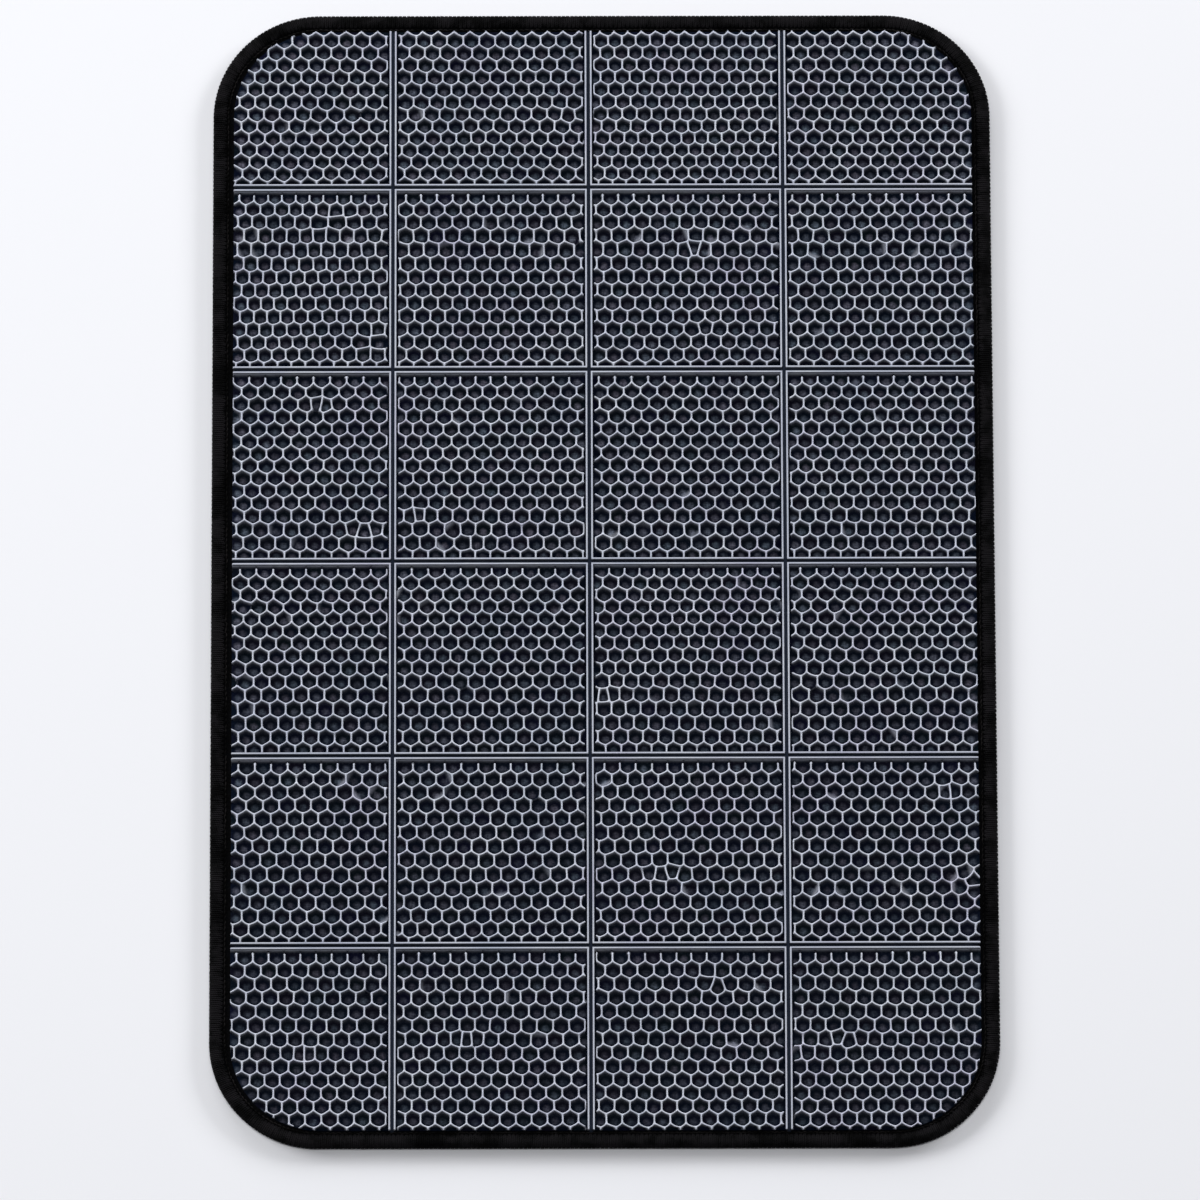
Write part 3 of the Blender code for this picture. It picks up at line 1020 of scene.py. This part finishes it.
        under = []
        for i in range(n):
            j = (i + 1) % n
            s0, s1 = along[i], along[j] if j else total * 0.99999
            if int(s0 / total * lines) != int(s1 / total * lines):
                s1 = (int(s0 / total * lines) + 1) * total / lines - 1e-6
            ci, cj = columns[i][0], columns[j][0]
            if ribbed[i]:
                a = [loop[i]] + ci
                b = [loop[j]] + cj
                for k in range(len(a) - 1):
                    self.faces.append((a[k + 1], b[k + 1], b[k], a[k]))
                    t0, t1 = k / 8, (k + 1) / 8
                    self.uvs.extend((place(s0, t1), place(s1, t1), place(s1, t0), place(s0, t0)))
                under.append(ci[-1])
            else:
                fi, fj = columns[i][1], columns[j][1]
                self.faces.append((fi, fj, loop[j], loop[i]))
                self.uvs.extend((place(s0, 0.9), place(s1, 0.9), place(s1, 0.5), place(s0, 0.5)))
                under.append(fi)
            # the rib's cut end
            if ribbed[i] != ribbed[j]:
                col, foot = columns[j]
                if ribbed[i]:   # rib ends at j
                    face = [loop[j]] + col + [foot]
                    self.faces.append(tuple(face))
                    self.uvs.extend([place(s1 * 0.999, k / 9) for k in range(len(face))])
                    under.append(col[-1])
                else:           # rib starts at j
                    face = ([loop[j]] + col + [foot])[::-1]
                    self.faces.append(tuple(face))
                    self.uvs.extend([place(s1 * 0.999, k / 9) for k in range(len(face))])
                    under.append(foot)
        # the underside, one flat face
        clean = []
        for v in under:
            if not clean or clean[-1] != v:
                clean.append(v)
        if clean[0] == clean[-1]:
            clean.pop()
        self.faces.append(tuple(clean[::-1]))
        for k in range(len(clean)):
            a = 2 * math.pi * k / len(clean)
            self.uvs.append((0.02 + 0.008 * math.cos(a), 0.985 + 0.008 * math.sin(a)))

    def make(self):
        name = self.node.replace("honeycomb_panel", "panel_tread")
        mesh = bpy.data.meshes.new(name)
        mesh.from_pydata(self.verts, [], self.faces)
        mesh.attributes.new("tone", "FLOAT", "POINT").data.foreach_set(
            "value", np.array(self.tone, np.float32))
        mesh.attributes.new("local", "FLOAT_VECTOR", "POINT").data.foreach_set(
            "vector", np.array(self.local, np.float32).ravel())
        mesh.attributes.new("pale", "FLOAT", "POINT").data.foreach_set(
            "value", np.array(self.pale, np.float32))
        layer = mesh.uv_layers.new(name="OFBake")
        layer.uv.foreach_set("vector", np.array(self.uvs, np.float32).ravel())
        mesh.shade_smooth()
        mesh.set_sharp_from_angle(angle=math.radians(60))
        ob = bpy.data.objects.new(name, mesh)
        bpy.context.scene.collection.objects.link(ob)
        mesh.materials.append(PANEL_MATERIAL)
        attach(ob, "root")
        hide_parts(self.node)
        return ob


PANEL_MATERIAL = panel_material()
counted = 0
for row in range(1, 7):
    for col in range(1, 5):
        panel = Panel(row, col)
        panel.build()
        counted += len(panel.cells)
print("cells", counted)


# ---------------------------------------------------------------- yarn tubes
def tube_mesh(name, paths, radius, sides, material, cyclic, patch_len):
    """Tubes along paths of (x, y, z) in mm, joined in one mesh.
    paths is a list of (points, radii or None)."""
    all_v, all_f, all_yarn, all_bake = [], [], [], []
    base = 0
    total = sum(len(p) for p, _ in paths)
    patches = max(1, math.ceil(total / patch_len))
    side = math.ceil(math.sqrt(patches))
    count = 0
    angles = np.arange(sides) * 2 * math.pi / sides
    for pts, radii in paths:
        pts = np.array(pts, float)
        n = len(pts)
        if cyclic:
            tangent = np.roll(pts, -1, 0) - np.roll(pts, 1, 0)
        else:
            tangent = np.gradient(pts, axis=0)
        tangent /= np.linalg.norm(tangent, axis=1)[:, None]
        up = np.tile((0.0, 0.0, 1.0), (n, 1))
        # keep the frame steady where the yarn turns down
        side_v = np.cross(tangent, up)
        bad = np.linalg.norm(side_v, axis=1) < 0.15
        side_v /= np.maximum(np.linalg.norm(side_v, axis=1), 1e-6)[:, None]
        for i in np.nonzero(bad)[0]:
            prev = side_v[i - 1]
            s = prev - tangent[i] * prev.dot(tangent[i])
            side_v[i] = s / max(np.linalg.norm(s), 1e-6)
        for i in range(1, n):   # no flips along the way
            if side_v[i].dot(side_v[i - 1]) < -0.5 and not cyclic:
                side_v[i] = -side_v[i]
        up = np.cross(side_v, tangent)
        rr = np.full(n, radius) if radii is None else np.array(radii)
        ring = (side_v[:, None, :] * np.cos(angles)[None, :, None]
                + up[:, None, :] * np.sin(angles)[None, :, None]) * rr[:, None, None]
        v = (pts[:, None, :] + ring).reshape(-1, 3)
        all_v.append(v * MM)
        step = np.linalg.norm(np.diff(pts, axis=0, append=pts[:1]), axis=1)
        along = np.concatenate([[0], np.cumsum(step)])
        spans = n if cyclic else n - 1
        i = np.arange(spans)
        j = (i + 1) % n
        k = np.arange(sides)
        k2 = (k + 1) % sides
        f = np.stack([
            base + i[:, None] * sides + k[None, :],
            base + i[:, None] * sides + k2[None, :],
            base + j[:, None] * sides + k2[None, :],
            base + j[:, None] * sides + k[None, :]], -1).reshape(-1, 4)
        all_f.append(f)
        u0 = np.repeat(along[i], sides)
        u1 = np.repeat(along[i + 1], sides)
        w0 = np.tile(k / sides, spans)
        w1 = np.tile((k + 1) / sides, spans)
        all_yarn.append(np.stack([u0, w0, u0, w1, u1, w1, u1, w0], -1).reshape(-1, 2))
        g = count + i
        patch, inside = g // patch_len, g % patch_len
        px, py = patch % side, patch // side
        m = 0.04
        b0 = (inside / patch_len) * (1 - 2 * m) + m
        b1 = ((inside + 1) / patch_len) * (1 - 2 * m) + m
        U0 = np.repeat((px + b0) / side, sides)
        U1 = np.repeat((px + b1) / side, sides)
        PY = np.repeat(py, sides)
        V0 = (PY + m + w0 * (1 - 2 * m)) / side
        V1 = (PY + m + w1 * (1 - 2 * m)) / side
        all_bake.append(np.stack([U0, V0, U0, V1, U1, V1, U1, V0], -1).reshape(-1, 2))
        count += n
        base += n * sides
        if not cyclic:
            for end, order in ((0, -1), (n - 1, 1)):
                first = base - n * sides + end * sides
                cap = (first + k)[::order]
                all_f.append(cap)
                all_yarn.append(np.zeros((sides, 2)))
                all_bake.append(np.full((sides, 2), 0.5 / side) + 0.002 / side * np.stack(
                    [np.cos(angles), np.sin(angles)], -1))
    faces = []
    for f in all_f:
        if f.ndim == 2:
            faces.extend(map(tuple, f.tolist()))
        else:
            faces.append(tuple(f.tolist()))
    mesh = bpy.data.meshes.new(name)
    mesh.from_pydata(np.concatenate(all_v).tolist(), [], faces)
    for layer_name, data in (("OFBake", all_bake), ("yarn", all_yarn)):
        layer = mesh.uv_layers.new(name=layer_name)
        layer.uv.foreach_set("vector", np.concatenate(data).astype(np.float32).ravel())
    mesh.shade_smooth()
    mesh.materials.append(material)
    ob = bpy.data.objects.new(name, mesh)
    bpy.context.scene.collection.objects.link(ob)
    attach(ob, "root")
    return ob


LEG = 1.08   # distance between neighbouring yarn legs along the edge, mm
stitches = 2 * int(round(EDGE.total / (2 * LEG)))
LEG = EDGE.total / stitches


def blend_profile(points, t):
    """Catmull-Rom through (u, z) points at t from 0 to 1."""
    n = len(points) - 1
    x = min(max(t, 0.0), 1.0) * n
    i = min(int(x), n - 1)
    f = x - i
    p = [points[max(i - 1, 0)], points[i], points[i + 1], points[min(i + 2, n)]]
    out = []
    for a, b, c, d in zip(*p):
        out.append(0.5 * (2 * b + (c - a) * f + (2 * a - 5 * b + 4 * c - d) * f * f
                          + (3 * b - a - 3 * c + d) * f ** 3))
    return out


def zigzag_yarn(profile, per_leg, seed, wobble, lean, radius, offset=0.0):
    """A looper yarn that runs in and out over the edge all the way round."""
    rng = random.Random(seed)
    pts, radii = [], []
    for leg in range(stitches):
        inward = leg % 2 == 0
        ds = rng.gauss(0, wobble)
        dz = rng.gauss(0, 0.05)
        reach = rng.gauss(0, 0.16)
        fat = rng.gauss(0, 0.025)
        for k in range(per_leg):
            t = (k + 0.5) / per_leg
            across = t if inward else 1 - t
            u, z = blend_profile(profile, across)
            ease = math.sin(math.pi * t)
            s = (leg + 0.5 + offset) * LEG + (t - 0.5) * LEG * (1 - 0.92 * ease ** 0.28) \
                + ds * ease + lean * (across - 0.5)
            u += reach * ramp(across, 0.6, 1.0)
            x, y, _ = EDGE.at(s, max(u, 0.0))
            pts.append((x, y, z + dz * ease))
            radii.append(radius * (1 + fat + 0.03 * math.sin(leg * 1.7 + k)))
    return pts, radii


upper_profile = ((0.64, 3.30), (0.66, 4.00), (1.15, 4.72), (2.20, 5.18), (3.55, 5.38), (5.00, 5.20), (6.10, 4.78), (6.55, 4.50))
lower_profile = ((0.58, 2.55), (0.56, 1.60), (0.95, 0.78), (1.80, 0.52), (2.90, 0.48), (4.60, 0.48), (6.30, 0.48))

upper_yarn = yarn_material("upper_looper_yarn", (0.0003, 0.0003, 0.0004), (0.0090, 0.0089, 0.0098), 3, 3.4)
lower_yarn = yarn_material("lower_looper_yarn", (0.0003, 0.0003, 0.0004), (0.0083, 0.0082, 0.0089), 3, 3.0)
needle_yarn = yarn_material("needle_yarn", (0.0008, 0.0008, 0.0008), (0.0170, 0.0165, 0.0160), 3, 1.8)

upper = tube_mesh("overlock_upper_yarn",
                  [zigzag_yarn(upper_profile, 8, 11, 0.05, 0.35, 0.60)],
                  0.60, 7, upper_yarn, True, 8)
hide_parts("overlock_upper_thread")
lower = tube_mesh("overlock_lower_yarn",
                  [zigzag_yarn(lower_profile, 8, 12, 0.05, -0.35, 0.46, 0.5)],
                  0.46, 6, lower_yarn, True, 8)
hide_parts("overlock_lower_thread")

# needle thread: one stitch for each pair of legs, dipping into the felt
rng = random.Random(5)
needle_pts = []
needle_stitches = int(round(EDGE.total / 2.8))
STITCH = EDGE.total / needle_stitches
for i in range(needle_stitches):
    ds, du = rng.gauss(0, 0.10), rng.gauss(0, 0.10)
    for k in range(8):
        t = k / 8
        arch = math.sin(math.pi * min(max((t - 0.06) / 0.80, 0.0), 1.0))
        u = 7.75 + du + 0.16 * math.sin(2 * math.pi * t)
        z = 3.62 + 0.66 * arch ** 0.6
        x, y, _ = EDGE.at((i + t) * STITCH + ds * arch, u)
        needle_pts.append((x, y, z))
needle = tube_mesh("overlock_needle_yarn", [(needle_pts, None)], 0.34, 7, needle_yarn, True, 8)
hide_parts("overlock_needle_thread")


# ---------------------------------------------------------------- felt sheet
def grid_lines(half, step, channels):
    """Grid lines from -half to half, with extra ones along each channel."""
    lines = [-half]
    stops = sorted(channels) + [half]
    for stop in stops:
        end = stop if stop == half else stop - 1.1
        count = max(1, int(round((end - lines[-1]) / step)))
        start = lines[-1]
        lines += [start + (end - start) * (k + 1) / count for k in range(count)]
        if stop != half:
            lines += [stop - 0.85, stop + 0.85, stop + 1.1]
    return np.array(lines)


def grid_plate(name, inset, r, z0, z1, step, top_relief, material, seed):
    """A rounded plate with a gridded, slightly uneven top."""
    import bmesh
    w, h = WIDTH / 2 - inset, LENGTH / 2 - inset
    xs = grid_lines(w, step, CHANNEL_X)
    ys = grid_lines(h, step, CHANNEL_Y)
    X, Y = np.meshgrid(xs, ys)
    # pull the grid's corners onto the rounded outline
    X2, Y2 = X.copy(), Y.copy()
    cx, cy = w - r, h - r
    ax, ay = np.abs(X), np.abs(Y)
    corner = (ax > cx) & (ay > cy)
    dx, dy = ax - cx, ay - cy
    big = np.maximum(dx, dy)
    norm = np.hypot(dx, dy)
    f = np.where(corner, big / np.maximum(norm, 1e-9), 1.0)
    X2 = np.where(corner, np.sign(X) * (cx + dx * f), X)
    Y2 = np.where(corner, np.sign(Y) * (cy + dy * f), Y)
    rows, cols = X.shape
    rs = np.random.RandomState(seed)
    top = np.full(X.shape, z1) + (rs.rand(*X.shape) - 1.0) * top_relief
    bottom = np.full(X.shape, z0)
    v = np.concatenate([
        np.stack([X2, Y2, top], -1).reshape(-1, 3),
        np.stack([X2, Y2, bottom], -1).reshape(-1, 3)]) * MM
    n = rows * cols
    i, j = np.meshgrid(np.arange(rows - 1), np.arange(cols - 1), indexing="ij")
    a = (i * cols + j).ravel()
    up = np.stack([a, a + 1, a + cols + 1, a + cols], -1)
    down = up[:, ::-1] + n
    rim = []
    for k in range(cols - 1):
        rim.append((k, n + k, n + k + 1, k + 1))
        q = (rows - 1) * cols + k
        rim.append((q + 1, n + q + 1, n + q, q))
    for k in range(rows - 1):
        q = k * cols
        rim.append((q + cols, n + q + cols, n + q, q))
        q = k * cols + cols - 1
        rim.append((q, n + q, n + q + cols, q + cols))
    mesh = bpy.data.meshes.new(name)
    mesh.from_pydata(v.tolist(), [], up.tolist() + down.tolist() + rim)
    inside = (np.abs(X2) < 189.2) & (np.abs(Y2) < 291.2)
    near = (np.abs(X2[..., None] - np.array(CHANNEL_X)).min(-1) < 0.9) \
        | (np.abs(Y2[..., None] - np.array(CHANNEL_Y)).min(-1) < 0.9)
    channel = np.where(near & inside, 1.0, 0.0)
    mesh.attributes.new("channel", "FLOAT", "POINT").data.foreach_set(
        "value", np.concatenate([channel.ravel(), np.zeros(channel.size)]).astype(np.float32))
    bm = bmesh.new()
    bm.from_mesh(mesh)
    bmesh.ops.recalc_face_normals(bm, faces=bm.faces)
    bm.to_mesh(mesh)
    bm.free()
    mesh.shade_smooth()
    mesh.set_sharp_from_angle(angle=math.radians(45))
    mesh.materials.append(material)
    ob = bpy.data.objects.new(name, mesh)
    bpy.context.scene.collection.objects.link(ob)
    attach(ob, "root")
    return ob


felt = grid_plate("felt_sheet", 1.5, CORNER_R - 1.5, felt_lo[2], felt_hi[2], 3.0, 0.10,
                  felt_material(), 3)
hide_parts("carrier_felt")


# ---------------------------------------------------------------- backing
def backing_mesh():
    import bmesh
    bm = bmesh.new()
    back_top = float(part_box("rubber_backing")[1][2]) / MM
    rim = rounded_outline(1.5, corner_steps=16)
    core = rounded_outline(7.5, corner_steps=16)
    skin = 0.55
    loops = []
    for pts, z in ((core, skin), (core, 1.2), (rim, 1.2), (rim, back_top)):
        loops.append([bm.verts.new((x * MM, y * MM, z * MM)) for x, y in pts])
    count = len(rim)
    for a, b in zip(loops, loops[1:]):
        for i in range(count):
            j = (i + 1) % count
            bm.faces.new((a[i], a[j], b[j], b[i]))
    bm.faces.new(loops[-1])
    bm.faces.new(loops[0][::-1])
    # low round studs underneath, in staggered rows
    pitch, sides = 12.0, 10
    rows = int(584 / (pitch * 0.866))
    for r in range(-rows // 2, rows // 2 + 1):
        y = r * pitch * 0.866
        for c in range(-17, 18):
            x = (c + 0.5 * (r % 2)) * pitch
            dx, dy = abs(x) - (WIDTH / 2 - 7.5 - 46.5), abs(y) - (LENGTH / 2 - 7.5 - 46.5)
            outside = abs(x) > WIDTH / 2 - 11.0 or abs(y) > LENGTH / 2 - 11.0
            if outside or (dx > 0 and dy > 0 and math.hypot(dx, dy) > 43.0):
                continue
            rings = []
            for rad, z in ((1.75, skin), (1.55, 0.20), (1.15, 0.03)):
                rings.append([bm.verts.new(((x + rad * math.cos(2 * math.pi * k / sides)) * MM,
                                            (y + rad * math.sin(2 * math.pi * k / sides)) * MM, z * MM))
                              for k in range(sides)])
            for a, b in zip(rings, rings[1:]):
                for k in range(sides):
                    m = (k + 1) % sides
                    bm.faces.new((a[m], a[k], b[k], b[m]))
            bm.faces.new(rings[-1][::-1])
            bm.faces.new(rings[0])
    for f in bm.faces:
        f.smooth = True
    mesh = bpy.data.meshes.new("studded_backing")
    bm.to_mesh(mesh)
    bm.free()
    mesh.set_sharp_from_angle(angle=math.radians(40))
    return mesh


backing = bpy.data.objects.new("studded_backing", backing_mesh())
backing.data.materials.append(backing_material())
bpy.context.scene.collection.objects.link(backing)
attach(backing, "root")
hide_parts("rubber_backing")

# ---------------------------------------------------------------- stage
mesh = bpy.data.meshes.new("studio_floor")
F = 60.0
mesh.from_pydata([(-F, -F, 0), (F, -F, 0), (F, F, 0), (-F, F, 0)], [], [(0, 1, 2, 3)])
mesh.materials.append(floor_material())
ground = bpy.data.objects.new("studio_floor", mesh)
ground.location.z = -0.00005
bpy.context.scene.collection.objects.link(ground)


def area_light(name, location, target, size_x, size_y, energy, colour):
    data = bpy.data.lights.new(name, "AREA")
    data.shape = "RECTANGLE"
    data.size, data.size_y = size_x, size_y
    data.energy = energy
    data.color = colour
    ob = bpy.data.objects.new(name, data)
    ob.location = location
    direction = Vector(target) - Vector(location)
    ob.rotation_euler = direction.to_track_quat("-Z", "Y").to_euler()
    ob.visible_camera = False
    bpy.context.scene.collection.objects.link(ob)
    return ob


def softbox(name, towards, elevation, distance, size, energy):
    """A soft light in the direction `towards`, `elevation` degrees up."""
    flat = Vector((*towards, 0.0)).normalized() * math.cos(math.radians(elevation))
    place = (flat + Vector((0, 0, math.sin(math.radians(elevation))))) * distance
    return area_light(name, tuple(place), (0.0, 0.0, 0.0), *size, energy, (1.0, 1.0, 1.0))


softbox("left_softbox", (-0.90, 0.43), 23.5, 5.0, (2.8, 1.7), 206.0)
softbox("far_softbox", (-0.20, 0.98), 22.0, 5.0, (3.4, 2.3), 124.0)
softbox("right_softbox", (0.80, 0.60), 20.0, 5.0, (2.6, 1.2), 162.0)
area_light("overhead_softbox", (0.0, -0.30, 3.0), (0.0, 0.0, 0.0), 0.9, 0.6, 29.0, (1.0, 1.0, 1.0))
world = bpy.data.worlds.new("studio_world")
world.use_nodes = True
background = world.node_tree.nodes["Background"]
background.inputs["Color"].default_value = (0.985, 0.99, 1.0, 1.0)
background.inputs["Strength"].default_value = 0.09
bpy.context.scene.world = world
view = bpy.context.scene.view_settings
view.view_transform = "Standard"
view.look = "None"
view.exposure = 0.0
view.gamma = 1.0

# ---------------------------------------------------------------- camera
tilt, yaw, roll = (math.radians(a) for a in (15.6007, -1.0778, 0.1846))
distance = 6.7836036
back = Vector((math.sin(yaw) * math.sin(tilt), -math.cos(yaw) * math.sin(tilt), math.cos(tilt)))
forward = -back
up = Vector((0, 1, 0)) - forward * forward.y
up.normalize()
side = forward.cross(up)
up = up * math.cos(roll) + side * math.sin(roll)
side = forward.cross(up)
camera_data = bpy.data.cameras.new("camera")
camera_data.sensor_width = 36.0
camera_data.lens = 36.0 * 1.9594 * 6783.6036 / 1200.0
camera_data.clip_start, camera_data.clip_end = 0.1, 100.0
camera = bpy.data.objects.new("camera", camera_data)
camera.matrix_world = Matrix.Translation(Vector((-1.6200 * MM, -12.1879 * MM, 0.0)) + back * distance) @ \
    Matrix((side, up, -forward)).transposed().to_4x4()
bpy.context.scene.collection.objects.link(camera)
bpy.context.scene.camera = camera
